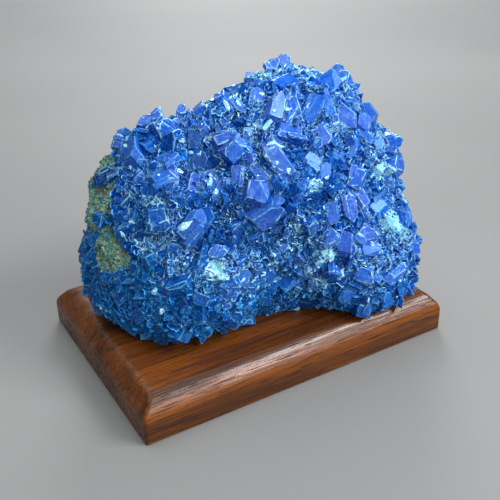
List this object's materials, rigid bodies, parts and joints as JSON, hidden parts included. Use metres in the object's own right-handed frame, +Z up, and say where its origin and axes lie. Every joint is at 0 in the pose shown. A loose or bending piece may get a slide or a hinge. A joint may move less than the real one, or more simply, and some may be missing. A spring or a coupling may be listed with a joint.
{
  "type": "chalcanthite crystal specimen",
  "caption": "Mass of intergrown blue chalcanthite crystals with a patch of host rock, standing on a bevelled wooden display base.",
  "frame": {"origin": "centre of the underside of the wooden base", "axes": "+Z up out of the base, X along the base's long side, -Y towards the front of the base"},
  "size_m": [0.1276, 0.0922, 0.1035],
  "materials": {
    "crystal": "vitreous, see-through blue crystals on a deeper blue mass",
    "host_rock": "rough, granular greenish tan",
    "walnut": "oiled satin, open pores"
  },
  "bodies": {
    "root": {"crystal_cluster": "crystal", "matrix_crust": "host_rock", "wooden_base": "walnut"}
  },
  "joints": []
}
